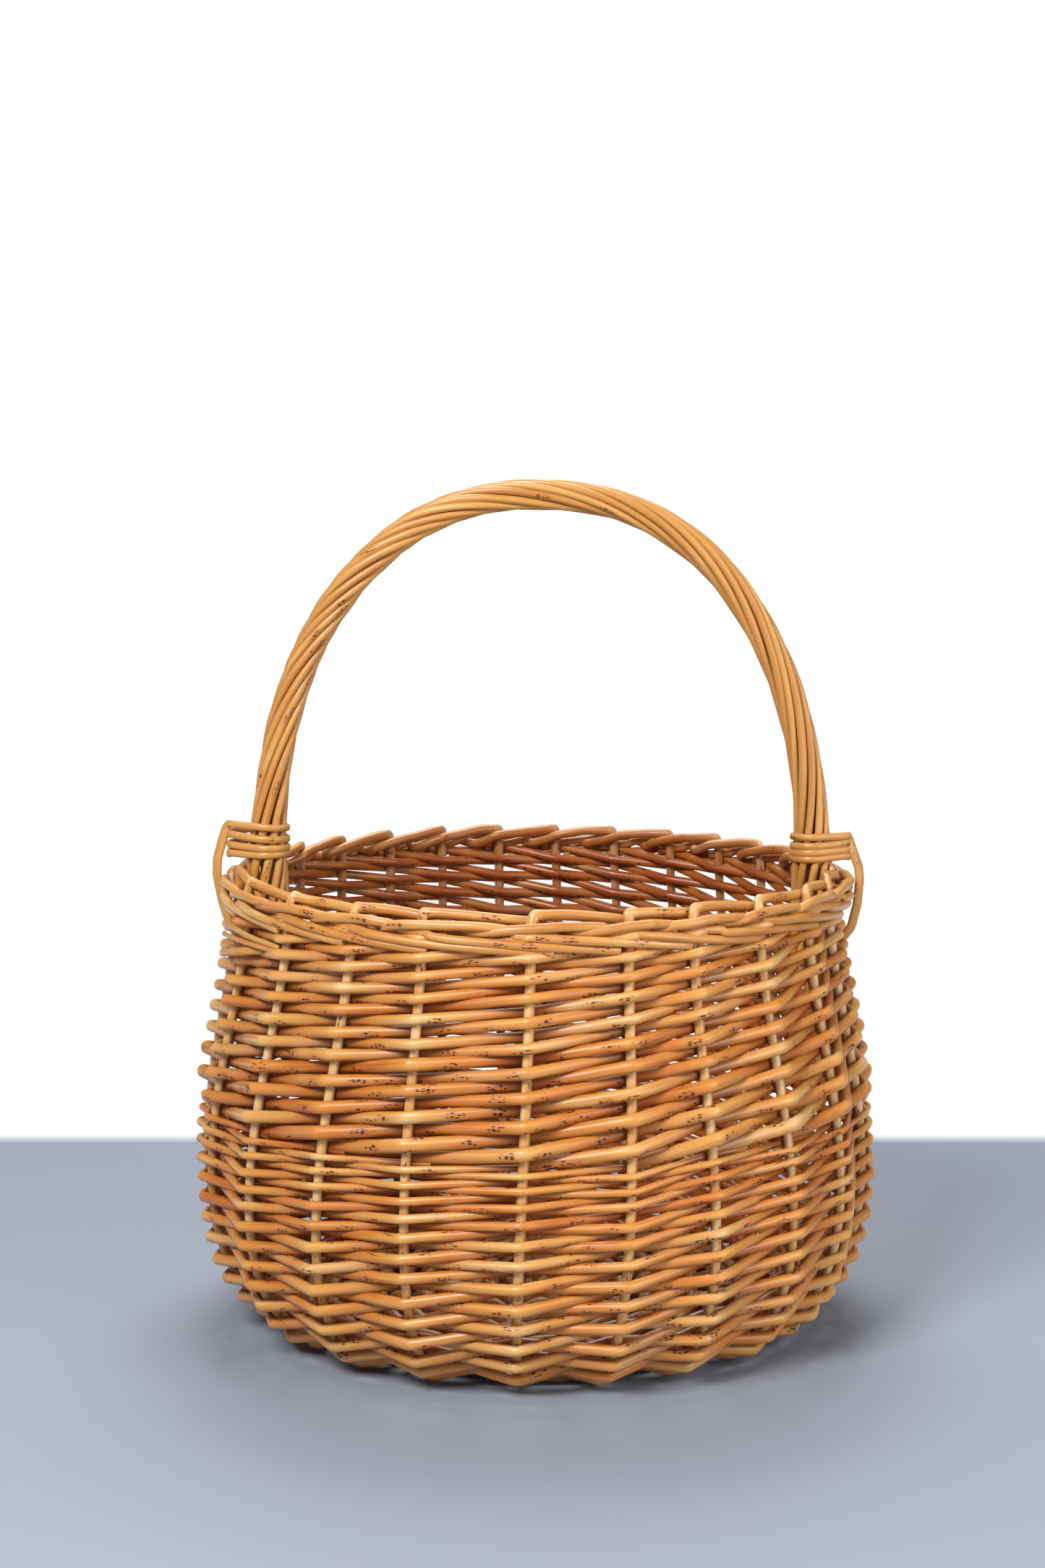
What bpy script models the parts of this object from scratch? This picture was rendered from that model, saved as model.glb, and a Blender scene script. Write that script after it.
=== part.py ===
# Round willow knitting basket with a fixed roped handle.
# Metres, +Z up. The origin is on the table under the middle of the basket, and the front faces -Y.
# The handle stands in the XZ plane. Every rod is a tube along its own route.

import math

import bmesh
import bpy
from mathutils import Matrix, Vector

# Willow
stake_count = 26
stake_thickness = 0.0046
border_thickness = 0.0042
border_tip_share = 0.8
seat_gap = 0.0003
row_gap = 0.0006

# Wall, along the middle of the stakes
foot_set_out = 0.0035
belly_radius = 0.1864
belly_height = 0.095
rim_radius = 0.1645
rim_height = 0.2525
foot_squareness = 2.15
foot_steps = 5
shoulder_steps = 4
first_stake_degrees = -92.8

# Siding: each rod climbs one row at every stake, in front of one stake and behind the next
lower_rows = 26
lower_butt_thickness = 0.0064
lower_tip_thickness = 0.0032
upper_rows = 19
upper_butt_thickness = 0.0071
upper_tip_thickness = 0.0041
rod_end_share = 0.2
rod_section_shares = ((1, 0), (-1, -0.9), (-1, 0.9))
stake_section_shares = ((1, 0), (-0.5, -0.866), (-0.5, 0.866))

# Border route of one stake: stakes passed, then out and down in border thicknesses. The stake stands up past
# the rim, kinks over to the right, passes behind one stake and in front of three, and ends inside.
border_depth_share = 3.4
border_route_shares = (
    (0.04, -0.20, -0.65),
    (0.30, -0.65, -0.55),
    (0.70, -1.10, 0.05),
    (1.00, -1.20, 0.70),
    (1.25, -0.80, 1.40),
    (1.50, 0.20, 1.55),
    (1.75, 0.95, 1.05),
    (2.00, 1.15, 0.55),
    (2.35, 1.50, 0.55),
    (2.70, 2.10, 1.40),
    (3.00, 1.60, 1.95),
    (4.00, 1.25, 3.05),
    (4.35, 0.90, 3.30),
    (5.00, -1.20, 2.95),
    (5.40, -1.20, 3.30),
)

# Base
stick_thickness = 0.0056
slit_stick_thickness = 0.0062
base_rod_thickness = 0.0065
base_radius = 0.1245
slath_reach = 0.015
slath_spread = 0.040
flat_reach = 0.014
level_reach = 0.010
flat_rounds = 2
base_lead = 0.006
first_crossed_stick = 2
flat_tilt = -math.pi / 2
weld_distance = 0.000005
slit_ends = ((12, 8), (0, 7), (1, 6))
threaded_ends = ((2, None), (3, 11), (4, 10), (5, 9))

# Handle
handle_rise = 0.2118
handle_squareness = 2.2
handle_foot_depth = 0.0695
handle_steps = 36
handle_turns = 3
bow_thickness = 0.0076
roping_clearance = 0.001
roping_rod_thickness = 0.004
roping_valley_share = 0.625
roping_foot_depth = 0.0515
roping_rods = 3
roping_rod_degrees = 57
roping_inner_points = 4

# Lashings
lashing_thickness = 0.0042
lashing_turns = 4
lashing_turn_points = 8
lashing_reach = 0.020
strap_foot_depth = 0.029

# Worked out from the sizes above
stake_turn = 2 * math.pi / stake_count
stick_count = stake_count // 2
foot_radius = base_radius + foot_set_out
slath_turn = stake_turn / 2
base_height = slit_stick_thickness / 2 + seat_gap + base_rod_thickness
base_pitch = base_rod_thickness + seat_gap
stake_foot_radius = base_radius - flat_rounds * base_pitch + seat_gap
border_out_shares = [out for _, out, _ in border_route_shares]
border_down_shares = [down for _, _, down in border_route_shares]
border_inside = rim_radius + (min(border_out_shares) - 0.5) * border_thickness
border_outside = rim_radius + (max(border_out_shares) + 0.5) * border_thickness
border_top = rim_height + (0.5 - min(border_down_shares)) * border_thickness
roping_inner_radius = bow_thickness / 2 + roping_clearance
roping_valley_radius = roping_inner_radius + roping_valley_share * roping_rod_thickness
roping_radius = roping_inner_radius + roping_rod_thickness
handle_half_span = border_inside - seat_gap - roping_radius


def willow(name, colour, roughness):
    material = bpy.data.materials.new(name)
    material.use_nodes = True
    shader = material.node_tree.nodes["Principled BSDF"]
    shader.inputs["Base Color"].default_value = (*colour, 1)
    shader.inputs["Roughness"].default_value = roughness
    shader.inputs["Metallic"].default_value = 0
    return material


def section_guide(name, corner_shares):
    """A rod's section in half thicknesses, with a ridge on the side that shows."""
    curve = bpy.data.curves.new(name, "CURVE")
    spline = curve.splines.new("POLY")
    spline.points.add(len(corner_shares) - 1)
    for point, (x, y) in zip(spline.points, corner_shares):
        point.co = (x, y, 0, 1)
    spline.use_cyclic_u = True
    profile = bpy.data.objects.new(name, curve)
    profile.hide_render = True
    profile.display_type = "WIRE"
    bpy.context.collection.objects.link(profile)
    return profile


def rod_curve(name, route, material, profile=None, twist="MINIMUM"):
    """A tube along route, a list of (point, thickness, tilt). It has four sides unless it takes a profile."""
    curve = bpy.data.curves.new(name, "CURVE")
    curve.dimensions = "3D"
    curve.use_fill_caps = True
    curve.twist_mode = twist
    if profile:
        curve.bevel_mode = "OBJECT"
        curve.bevel_object = profile
        scale = 0.5
    else:
        curve.bevel_depth = route[0][1] / 2
        curve.bevel_resolution = 0
        scale = 1 / route[0][1]
    spline = curve.splines.new("POLY")
    spline.points.add(len(route) - 1)
    for point, (place, thickness, tilt) in zip(spline.points, route):
        point.co = (*place, 1)
        point.radius = thickness * scale
        point.tilt = tilt
    curve.materials.append(material)
    return curve


def add_object(name, data, turn=0.0):
    made = bpy.data.objects.new(name, data)
    made.rotation_euler.z = turn
    bpy.context.collection.objects.link(made)
    return made


def around(radius, angle, height):
    return Vector((radius * math.cos(angle), radius * math.sin(angle), height))


def wall_corners():
    """The wall's section as (radius, height): a superellipse from the foot to the belly, then an eased shoulder."""
    corners = []
    for step in range(foot_steps + 1):
        turn = math.pi / 2 * step / foot_steps
        out = math.sin(turn) ** (2 / foot_squareness)
        up = 1 - math.cos(turn) ** (2 / foot_squareness)
        radius = foot_radius + (belly_radius - foot_radius) * out
        corners.append(Vector((radius, base_height + (belly_height - base_height) * up)))
    for step in range(1, shoulder_steps + 1):
        share = step / shoulder_steps
        eased = (1 - math.cos(math.pi * share)) / 2
        radius = belly_radius + (rim_radius - belly_radius) * eased
        corners.append(Vector((radius, belly_height + (rim_height - belly_height) * share)))
    return corners


def outward(along):
    return Vector((along.y, -along.x)).normalized()


class Wall:
    """The wall's section, read by the distance along it from the foot."""

    def __init__(self):
        self.corners = wall_corners()
        steps = [b - a for a, b in zip(self.corners, self.corners[1:])]
        self.reach = [0.0]
        for step in steps:
            self.reach.append(self.reach[-1] + step.length)
        self.length = self.reach[-1]
        normals = [outward(step) for step in steps]
        inner = [(a + b).normalized() for a, b in zip(normals, normals[1:])]
        self.normals = [Vector((0, -1)), *inner, normals[-1]]

    def at(self, distance):
        span = max(i for i, r in enumerate(self.reach[:-1]) if r <= distance)
        share = (distance - self.reach[span]) / (self.reach[span + 1] - self.reach[span])
        point = self.corners[span].lerp(self.corners[span + 1], share)
        return point, self.normals[span].lerp(self.normals[span + 1], share).normalized()


def siding_rows(wall):
    """(distance along the wall, thickness) of each row: rods taper from butt to tip and fill the wall."""
    taper = []
    for rows, butt, tip in (
        (lower_rows, lower_butt_thickness, lower_tip_thickness),
        (upper_rows, upper_butt_thickness, upper_tip_thickness),
    ):
        taper += [butt + (tip - butt) * row / (rows - 1) for row in range(rows)]
    room = wall.length - border_depth_share * border_thickness
    fit = room / sum(thickness + row_gap for thickness in taper)
    rows, reached = [], 0.0
    for thickness in taper:
        pitch = (thickness + row_gap) * fit
        rows.append((reached + pitch / 2, pitch - row_gap))
        reached += pitch
    return rows


def siding_route(wall):
    """One lower rod and the upper rod that begins at its tip. Even rows pass inside the stake."""
    rows = siding_rows(wall)
    stops = [(-rod_end_share, 0)]
    stops += [(row, row) for row in range(len(rows))]
    stops.append((len(rows) - 1 + rod_end_share, len(rows) - 1))
    route = []
    for stakes_on, row in stops:
        distance, thickness = rows[row]
        point, normal = wall.at(distance)
        side = 1 if row % 2 else -1
        offset = stake_thickness / 2 + row_gap + thickness / 2
        place = point + normal * side * offset
        tilt = math.atan2(-normal.y, normal.x)
        route.append((around(place.x, stakes_on * stake_turn, place.y), thickness, tilt))
    return route


def stake_route(wall, side):
    """Beside its base stick, up the wall, and down again along the border. side is 1 or -1."""
    beside = stick_thickness / 2 + seat_gap + stake_thickness / 2
    stick_angle = side * stake_turn / 2
    foot_angle = stick_angle - side * math.asin(beside / stake_foot_radius)
    route = [(around(stake_foot_radius, foot_angle, base_height), stake_thickness, 0)]
    top = len(wall.corners) - 1
    for number, corner in enumerate(wall.corners):
        share = number / top
        thickness = stake_thickness + (border_thickness - stake_thickness) * share
        route.append((around(corner.x, 0, corner.y), thickness, 0))
    last = border_route_shares[-1][0]
    for stakes_on, out, down in border_route_shares:
        taper = 1 + (border_tip_share - 1) * stakes_on / last
        radius = rim_radius + out * border_thickness
        height = rim_height - down * border_thickness
        place = around(radius, stakes_on * stake_turn, height)
        route.append((place, border_thickness * taper, 0))
    return route


def make_wall(profile):
    wall = Wall()
    stake_profile = section_guide("stake_section", stake_section_shares)
    stake_willow = willow("stake_willow", (0.68, 0.45, 0.20), 0.45)
    rod_willow = willow("siding_willow", (0.55, 0.27, 0.08), 0.4)
    near = rod_curve("stake_near", stake_route(wall, 1), stake_willow, stake_profile)
    far = rod_curve("stake_far", stake_route(wall, -1), stake_willow, stake_profile)
    siding = rod_curve("siding", siding_route(wall), rod_willow, profile, "Z_UP")
    start = math.radians(first_stake_degrees)
    for number in range(stake_count):
        turn = start + number * stake_turn
        add_object(f"stake_{number + 1:02d}", far if number % 2 else near, turn)
    for number in range(stake_count):
        turn = start + number * stake_turn
        add_object(f"siding_rod_{number + 1:02d}", siding, turn)


def stick_angle(number):
    return math.radians(first_stake_degrees) + (2 * number + 0.5) * stake_turn


def mesh_of(curve):
    """The curve's tube as a closed mesh, with the corners of its caps merged into its sides."""
    helper = bpy.data.objects.new(curve.name, curve)
    bpy.context.collection.objects.link(helper)
    graph = bpy.context.evaluated_depsgraph_get()
    mesh = bpy.data.meshes.new_from_object(helper.evaluated_get(graph))
    bpy.data.objects.remove(helper)
    tube = bmesh.new()
    tube.from_mesh(mesh)
    bmesh.ops.remove_doubles(tube, verts=tube.verts, dist=weld_distance)
    tube.to_mesh(mesh)
    tube.free()
    return mesh


def stick_route(first, second, first_slath, second_slath, thickness):
    """Out along one base stick, through the slath, and out along the other."""
    route = []
    if first is not None:
        route.append(around(base_radius, stick_angle(first), base_height))
        route.append(around(slath_spread, stick_angle(first), base_height))
    route.append(first_slath)
    route.append(second_slath)
    route.append(around(slath_spread, stick_angle(second), base_height))
    route.append(around(base_radius, stick_angle(second), base_height))
    return [(point, thickness, 0) for point in route]


def slath_point(along, across):
    """A place in the slath, whose slit sticks run along the axis that the sticks' fan is centred on."""
    turned = Matrix.Rotation(stick_angle(0) + slath_turn, 3, "Z") @ Vector((along, across, 0))
    return turned + Vector((0, 0, base_height))


def make_base_sticks(material):
    """Three slit sticks with four threaded through them, one of these cut short: 13 ends, an odd number."""
    side = slit_stick_thickness + seat_gap
    routes = []
    for place, (right, left) in enumerate(slit_ends):
        across = (place - 1) * side
        ends = slath_point(slath_reach, across), slath_point(-slath_reach, across)
        routes.append(stick_route(right, left, *ends, slit_stick_thickness))
    for place, (upper, lower) in enumerate(threaded_ends):
        along = ((len(threaded_ends) - 1) / 2 - place) * (stick_thickness + seat_gap)
        ends = slath_point(along, -slath_reach), slath_point(along, slath_reach)
        routes.append(stick_route(lower, upper, *ends, stick_thickness))
    sticks = [mesh_of(rod_curve("base_stick", route, material)) for route in routes]
    base = add_object("base_sticks", sticks[0])
    for mesh in sticks[1:]:
        joined = add_object("slath_helper", mesh)
        joined.hide_render = True
        joined.display_type = "WIRE"
        union = base.modifiers.new("slath", "BOOLEAN")
        union.operation = "UNION"
        union.solver = "MANIFOLD"
        union.object = joined


def make_base_rod(material, profile):
    """One rod randed outwards under and over the sticks.

    Its last rounds run flat beside the stakes' feet, and are level where they stand on the table.
    """
    offset = base_height - base_rod_thickness / 2
    outer = base_radius - base_rod_thickness / 2
    rounds = math.floor((outer - slath_spread) / base_pitch)
    crossings = rounds * stick_count
    start = outer - base_pitch * rounds
    lead = stick_angle(first_crossed_stick) - base_lead / start
    route = [(around(start, lead, base_height - offset), base_rod_thickness, flat_tilt)]
    for crossing in range(crossings + 1):
        radius = outer - base_pitch * (crossings - crossing) / stick_count
        angle = stick_angle(first_crossed_stick + crossing)
        over = crossing % 2 == 1
        height = base_height + (offset if over else -offset)
        stops = (0,)
        if crossings - crossing < flat_rounds * stick_count:
            level = () if over else (-level_reach, level_reach)
            stops = (-flat_reach, *level, flat_reach)
        for stop in stops:
            place = around(radius, angle + stop / radius, height)
            route.append((place, base_rod_thickness, flat_tilt))
    add_object("base_rod", rod_curve("base_rod", route, material, profile, "Z_UP"))


def arch_point(turn):
    """The handle's middle line: a superellipse above the rim."""
    power = 2 / handle_squareness
    across = math.copysign(abs(math.cos(turn)) ** power, math.cos(turn))
    up = math.sin(turn) ** power
    return Vector((handle_half_span * across, 0, rim_height + handle_rise * up))


def handle_line(foot_depth):
    """Points along the bow from the right foot, this far below the rim, to the left one."""
    arch = [arch_point(math.pi * step / handle_steps) for step in range(handle_steps + 1)]
    depths = (foot_depth, foot_depth / 2)
    right = [Vector((handle_half_span, 0, rim_height - depth)) for depth in depths]
    left = [Vector((-handle_half_span, 0, rim_height - depth)) for depth in reversed(depths)]
    return [*right, *arch, *left]


def make_bow(material):
    route = [(point, bow_thickness, 0) for point in handle_line(handle_foot_depth)]
    add_object("handle_bow", rod_curve("handle_bow", route, material))


def roping_section():
    """(radius, angle) round one group of roping rods: a ridge for each rod outside, and the bow's seat inside."""
    width = math.radians(roping_rod_degrees)
    section = []
    for number in range(2 * roping_rods + 1):
        radius = roping_radius if number % 2 else roping_valley_radius
        section.append((radius, number * width / 2))
    for number in range(roping_inner_points):
        share = number / (roping_inner_points - 1)
        section.append((roping_inner_radius, (1 - share) * width * roping_rods))
    return section


def make_roping(name, start, material):
    """Three rods laid side by side, wound round the bow from foot to foot as one piece."""
    line = handle_line(roping_foot_depth)
    reached = [0.0]
    for a, b in zip(line, line[1:]):
        reached.append(reached[-1] + (b - a).length)
    points = []
    for number, point in enumerate(line):
        along = line[min(number + 1, len(line) - 1)] - line[max(number - 1, 0)]
        forward = along.normalized()
        side = forward.cross(Vector((0, 1, 0)))
        turn = start - 2 * math.pi * handle_turns * reached[number] / reached[-1]
        for radius, angle in roping_section():
            spoke = side * math.cos(angle + turn) + Vector((0, math.sin(angle + turn), 0))
            points.append(point + spoke * radius)
    ring = len(roping_section())
    faces = [tuple(range(ring))]
    for number in range(len(line) - 1):
        first = number * ring
        for corner in range(ring):
            after = (corner + 1) % ring
            faces.append((first + ring + corner, first + ring + after, first + after, first + corner))
    faces.append(tuple(reversed(range(len(points) - ring, len(points)))))
    mesh = bpy.data.meshes.new(name)
    mesh.from_pydata(points, [], faces)
    mesh.materials.append(material)
    mesh.shade_smooth()
    add_object(name, mesh)


def lashing_route():
    """Wraps round the handle's foot from the border up, then a strap down the outside of the border."""
    pitch = lashing_thickness + row_gap
    facet = math.pi / lashing_turn_points
    radius = (roping_radius + seat_gap + lashing_thickness / 2) / math.cos(facet)
    lowest = border_top + seat_gap + lashing_thickness / 2
    route = []
    for step in range(lashing_turns * lashing_turn_points + 1):
        angle = 2 * math.pi * step / lashing_turn_points
        reach = lashing_reach if math.cos(angle) > 0 else radius
        height = lowest + pitch * step / lashing_turn_points
        place = (handle_half_span + reach * math.cos(angle), radius * math.sin(angle), height)
        route.append(Vector(place))
    top = route[-1]
    outer = border_outside + seat_gap + lashing_thickness / 2
    route.append(Vector((outer - lashing_thickness / 2, 0, top.z - lashing_thickness / 4)))
    route.append(Vector((outer, 0, top.z - 2 * lashing_thickness)))
    route.append(Vector((outer, 0, rim_height - 2 * border_thickness)))
    route.append(Vector((outer, 0, rim_height - strap_foot_depth)))
    return [(point, lashing_thickness, 0) for point in route]


def make_handle():
    pale = willow("handle_willow", (0.62, 0.36, 0.13), 0.4)
    inner = willow("bow_willow", (0.45, 0.25, 0.10), 0.5)
    make_bow(inner)
    make_roping("handle_roping_front", 0, pale)
    make_roping("handle_roping_back", math.pi, pale)
    lashing = rod_curve("lashing", lashing_route(), willow("lashing_willow", (0.58, 0.32, 0.11), 0.4))
    add_object("lashing_right", lashing)
    add_object("lashing_left", lashing, math.pi)


def main():
    for old in list(bpy.data.objects):
        bpy.data.objects.remove(old)
    profile = section_guide("rod_section", rod_section_shares)
    make_wall(profile)
    base_willow = willow("base_willow", (0.50, 0.28, 0.11), 0.5)
    make_base_sticks(base_willow)
    make_base_rod(base_willow, profile)
    make_handle()


main()
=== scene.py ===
# Willow knitting basket: every rod laid by the basket maker's own rule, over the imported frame.
# Metres, +Z up, the front faces -Y and the handle stands in the XZ plane.
import math

import bpy
import numpy as np
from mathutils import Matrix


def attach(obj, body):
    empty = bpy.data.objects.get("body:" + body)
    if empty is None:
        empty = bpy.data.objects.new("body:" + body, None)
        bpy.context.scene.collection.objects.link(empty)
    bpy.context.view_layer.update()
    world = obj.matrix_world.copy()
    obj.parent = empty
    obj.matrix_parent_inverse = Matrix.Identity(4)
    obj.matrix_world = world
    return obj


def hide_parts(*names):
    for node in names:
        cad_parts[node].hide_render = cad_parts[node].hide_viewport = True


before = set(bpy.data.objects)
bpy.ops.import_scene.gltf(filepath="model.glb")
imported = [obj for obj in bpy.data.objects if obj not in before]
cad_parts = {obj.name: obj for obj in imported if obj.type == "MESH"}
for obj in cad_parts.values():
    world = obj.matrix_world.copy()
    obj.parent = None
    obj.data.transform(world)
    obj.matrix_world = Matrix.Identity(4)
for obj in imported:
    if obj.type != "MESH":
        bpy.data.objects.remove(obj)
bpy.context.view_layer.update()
print("frame loaded:", len(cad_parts), "nodes")

# a photograph taken from a little above the handle, with a lens of about 67 mm
camera = {"distance": 1.62, "height": 0.496, "aside": -0.007, "pitchDegrees": 6.82, "lens": 67.04, "sensor": 36.0}


def makeCamera():
    data = bpy.data.cameras.new("camera")
    data.lens = camera["lens"]
    data.sensor_width = camera["sensor"]
    made = bpy.data.objects.new("camera", data)
    made.location = (camera["aside"], -camera["distance"], camera["height"])
    made.rotation_euler = (math.radians(90 - camera["pitchDegrees"]), 0, 0)
    bpy.context.scene.collection.objects.link(made)
    bpy.context.scene.camera = made


makeCamera()


# lines and rods

def unit(rows):
    return rows / np.maximum(np.linalg.norm(rows, axis=-1, keepdims=True), 1e-9)


def around(radius, angle, height):
    # a point at this radius and angle round the basket's axis
    return np.stack(np.broadcast_arrays(radius * np.cos(angle), radius * np.sin(angle), height), axis=-1)


def lengths(line):
    # distance along the line at each of its points; the first three columns are the place
    return np.append(0, np.cumsum(np.linalg.norm(np.diff(line[:, :3], axis=0), axis=1)))


def readLine(line, reach, want):
    return np.column_stack([np.interp(want, reach, column) for column in line.T])


def curveThrough(corners, share=40):
    # Catmull-Rom: 0.5 (2b + (c - a) t + (2a - 5b + 4c - d) t^2 + (3b - a - 3c + d) t^3) between b and c
    corners = np.asarray(corners, float)
    ends = np.vstack([2 * corners[0] - corners[1], corners, 2 * corners[-1] - corners[-2]])
    place = np.linspace(0, len(corners) - 1, share * (len(corners) - 1) + 1)
    left = np.minimum(place.astype(int), len(corners) - 2)
    t = (place - left)[:, None]
    a, b, c, d = (ends[left + k] for k in range(4))
    return 0.5 * (2 * b + (c - a) * t + (2 * a - 5 * b + 4 * c - d) * t ** 2 + (3 * b - a - 3 * c + d) * t ** 3)


def rounded(line, window, step=0.0005):
    # a moving average over this much of the line's length, so every corner becomes a short bend
    reach = lengths(line)
    even = readLine(line, reach, np.arange(0, reach[-1] + step / 2, step))
    half = max(int(window / step / 2), 1)
    before = 2 * even[0] - even[half:0:-1]
    after = 2 * even[-1] - even[-2:-half - 2:-1]
    total = np.cumsum(np.vstack([np.zeros(even.shape[1]), before, even, after]), axis=0)
    return (total[2 * half + 1:] - total[:-2 * half - 1]) / (2 * half + 1)


def ringed(line, longest=0.008, turnStep=0.11):
    # rings closer together where the line bends: one for each longest metres plus one for each turnStep radians
    along = unit(np.gradient(line[:, :3], axis=0))
    bend = np.arccos(np.clip(np.sum(along[1:] * along[:-1], axis=1), -1, 1))
    cost = np.append(0, np.cumsum(np.diff(lengths(line)) / longest + bend / turnStep))
    return readLine(line, cost, np.linspace(0, cost[-1], int(np.ceil(cost[-1])) + 1))


# a rod's line has these columns: place, outward direction, radius, and then its looks: flatness, the painted shade
# where it is tucked, and paleness
columns = {"place": slice(0, 3), "facing": slice(3, 6), "radius": 6, "flat": 7, "tuckShade": 8, "bend": 9}


def rodLine(place, facing, radius, flat=0.0, tuckShade=0.0, bend=0.0):
    rows = len(place)
    single = [np.broadcast_to(np.asarray(value, float), (rows,)) for value in (radius, flat, tuckShade, bend)]
    return np.column_stack([place, facing, *single])


# each end of a rod is cut flat and bevelled: its face is this share of the radius, and this share of it further out
rodEnd = {"face": 0.8, "further": 0.15}


def sweepRod(name, line, look, sides=12):
    # a round rod: ring k is place + side * across * cos(a) + outer * deep * sin(a), where flat makes it thinner in
    # depth and half as much wider across
    place, facing = line[:, columns["place"]], line[:, columns["facing"]]
    along = unit(np.gradient(place, axis=0))
    side = unit(np.cross(along, facing))
    outer = np.cross(side, along)
    length = lengths(line) + look["start"]
    radius, flat = line[:, columns["radius"]], line[:, columns["flat"]]
    ends = [0, *range(len(line)), len(line) - 1]
    place, along, side, outer, radius, flat, length = (part[ends] for part in (
        place, along, side, outer, radius, flat, length))
    radius[[0, -1]] *= rodEnd["face"]
    place[0] -= along[0] * radius[0] * rodEnd["further"]
    place[-1] += along[-1] * radius[-1] * rodEnd["further"]
    turn = np.linspace(0, 2 * np.pi, sides, endpoint=False)
    across = (radius * (1 + 0.5 * flat))[:, None] * np.cos(turn)
    deep = (radius * (1 - flat))[:, None] * np.sin(turn)
    points = place[:, None] + side[:, None] * across[..., None] + outer[:, None] * deep[..., None]
    rings = len(place)
    corner = np.arange(rings * sides).reshape(rings, sides)
    after = np.roll(corner, -1, axis=1)
    # seen from the tip the rings run clockwise, and this order of corners makes the faces point outwards
    quads = np.stack([corner[:-1], corner[1:], after[1:], after[:-1]], axis=-1).reshape(-1, 4)
    loops = np.concatenate([quads.ravel(), corner[0], corner[-1, ::-1]])
    sizes = np.concatenate([np.full(len(quads), 4), [sides, sides]])
    mesh = bpy.data.meshes.new(name)
    mesh.vertices.add(rings * sides)
    mesh.vertices.foreach_set("co", points.astype(np.float32).ravel())
    mesh.loops.add(len(loops))
    mesh.loops.foreach_set("vertex_index", loops.astype(np.int32))
    mesh.polygons.add(len(sizes))
    mesh.polygons.foreach_set("loop_start", (np.cumsum(sizes) - sizes).astype(np.int32))
    mesh.update(calc_edges=True)
    mesh.validate()
    mesh.shade_smooth()
    # the rod's own space for its grain: across, deep and along, in metres
    grain = np.stack(np.broadcast_arrays(across, deep, length[:, None]), axis=-1)
    mesh.attributes.new("rodSpace", "FLOAT_VECTOR", "POINT").data.foreach_set(
        "vector", grain.astype(np.float32).ravel())
    tone = np.full(rings, look["tone"])
    hue = np.full(rings, look["hue"])
    # rodLook holds the tone, the painted shade where the rod is tucked, the paleness and the redness
    colour = np.stack([tone, line[ends, columns["tuckShade"]], line[ends, columns["bend"]], hue], axis=-1)
    mesh.attributes.new("rodLook", "FLOAT_COLOR", "POINT").data.foreach_set(
        "color", np.repeat(colour, sides, axis=0).astype(np.float32).ravel())
    made = bpy.data.objects.new(name, mesh)
    bpy.context.scene.collection.objects.link(made)
    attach(made, "root")
    return made


def addRod(name, line, look, finish, slot, *nodes, sides=12):
    made = sweepRod(name, line, look, sides)
    made.data.materials.append(finish)
    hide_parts(*nodes)


def drawLook(chance, tone, spread, reddest):
    # a rod's own tone, how red it is, and the length at which its grain starts
    return {"tone": tone + chance.normal(0, spread), "hue": chance.uniform(0, reddest), "start": chance.uniform(0, 5)}


def swelling(line, chance, waves, depth):
    # no rod is even: 1 + depth * the sum of sin(distance / wave + a phase of its own)
    reach = lengths(line)
    return 1 + depth * sum(np.sin(reach / wave + chance.uniform(0, 6)) for wave in waves)


# finishes

def toLinear(code):
    # sRGB hex to linear: above 0.04045 the value is ((c + 0.055) / 1.055) ^ 2.4
    parts = [int(code[k:k + 2], 16) / 255 for k in (1, 3, 5)]
    return [(c / 12.92 if c <= 0.04045 else ((c + 0.055) / 1.055) ** 2.4) for c in parts] + [1.0]


def addNode(tree, kind, inputs=None, **properties):
    # adds a node, sets its properties, and sets its sockets or links them from (node, output)
    node = tree.nodes.new(kind)
    for key, value in properties.items():
        setattr(node, key, value)
    for key, value in (inputs or {}).items():
        if isinstance(value, tuple) and isinstance(value[0], bpy.types.Node):
            tree.links.new(value[0].outputs[value[1]], node.inputs[key])
        else:
            node.inputs[key].default_value = value
    return node


# what all the willow shares. Sizes are in millimetres, round the rod and along it, and a noise adds its detail and
# roughness. Ranges are by Map Range's sockets: 1 and 2 are the ends of what comes in, 3 and 4 of what goes out
willow = {"grain": {"patches": (9.0, 45.0, 2.0, 0.5), "streaks": (1.5, 34.0, 3.0, 0.55),
                    "fibres": (0.45, 14.0, 2.0, 0.6)},
          "middle": {1: 0.3, 2: 0.7}, "fibreSwing": 0.2, "shadeStops": (0.33, 0.66),
          "redder": "#C06A26", "redderRange": {1: 0.3, 2: 1.0, 3: 0.0, 4: 0.33},
          "paintedShade": "#842E02", "tuckShadeShare": 0.75, "inwardShadeRange": {1: 0.0006, 2: -0.0016},
          "skinRadius": 0.003, "scarSpacing": (7.0, 19.0), "scarRange": {1: 0.30, 2: 0.24},
          "dashSize": (0.95, 3.0), "dashRange": {1: 0.46, 2: 0.34}, "dashShare": 0.5, "scar": "#3A1206",
          "stain": "#A8561F", "stainRange": {1: 0.5, 2: 0.1, 3: 0.0, 4: 0.35},
          "smoother": -0.05, "rougher": 0.12, "coatRoughness": 0.28,
          "fibreRelief": 0.1, "scarRelief": 0.6, "reliefHeight": 0.0001}


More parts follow.
